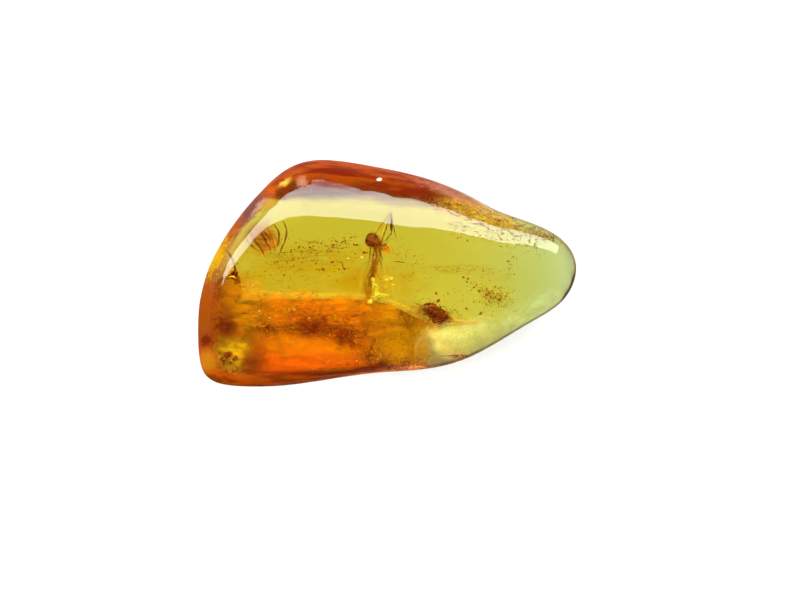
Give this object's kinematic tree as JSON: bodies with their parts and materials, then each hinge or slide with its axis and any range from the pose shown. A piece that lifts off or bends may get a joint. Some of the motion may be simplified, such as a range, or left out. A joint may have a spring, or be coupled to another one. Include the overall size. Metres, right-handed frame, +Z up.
{
  "type": "insect in amber",
  "caption": "Free-formed polished nugget of clear golden amber, thick at one end and thin at the tip, with a gnat and crumbs of bark sealed inside. It lies on its flat back.",
  "frame": {"origin": "on the surface that the nugget lies on, under the middle of its bounding box", "axes": "+X from the thick, broad end to the thin tip, +Y from the overhanging near side to the far side, +Z up, out of the polished face"},
  "size_m": [0.0341, 0.0204, 0.0117],
  "materials": {
    "amber": "clear golden amber, polished to a high gloss, see-through",
    "gnat": "dark red-brown chitin, satin",
    "bark": "crumbly red-brown bark, matt"
  },
  "bodies": {
    "root": {"amber_upper_half": "amber", "amber_lower_half": "amber", "gnat": "gnat", "bark_crumb_large": "bark", "bark_crumb_small": "bark", "bark_crumb_dark": "bark", "bark_curl": "bark", "bark_splinter": "bark"}
  },
  "joints": []
}
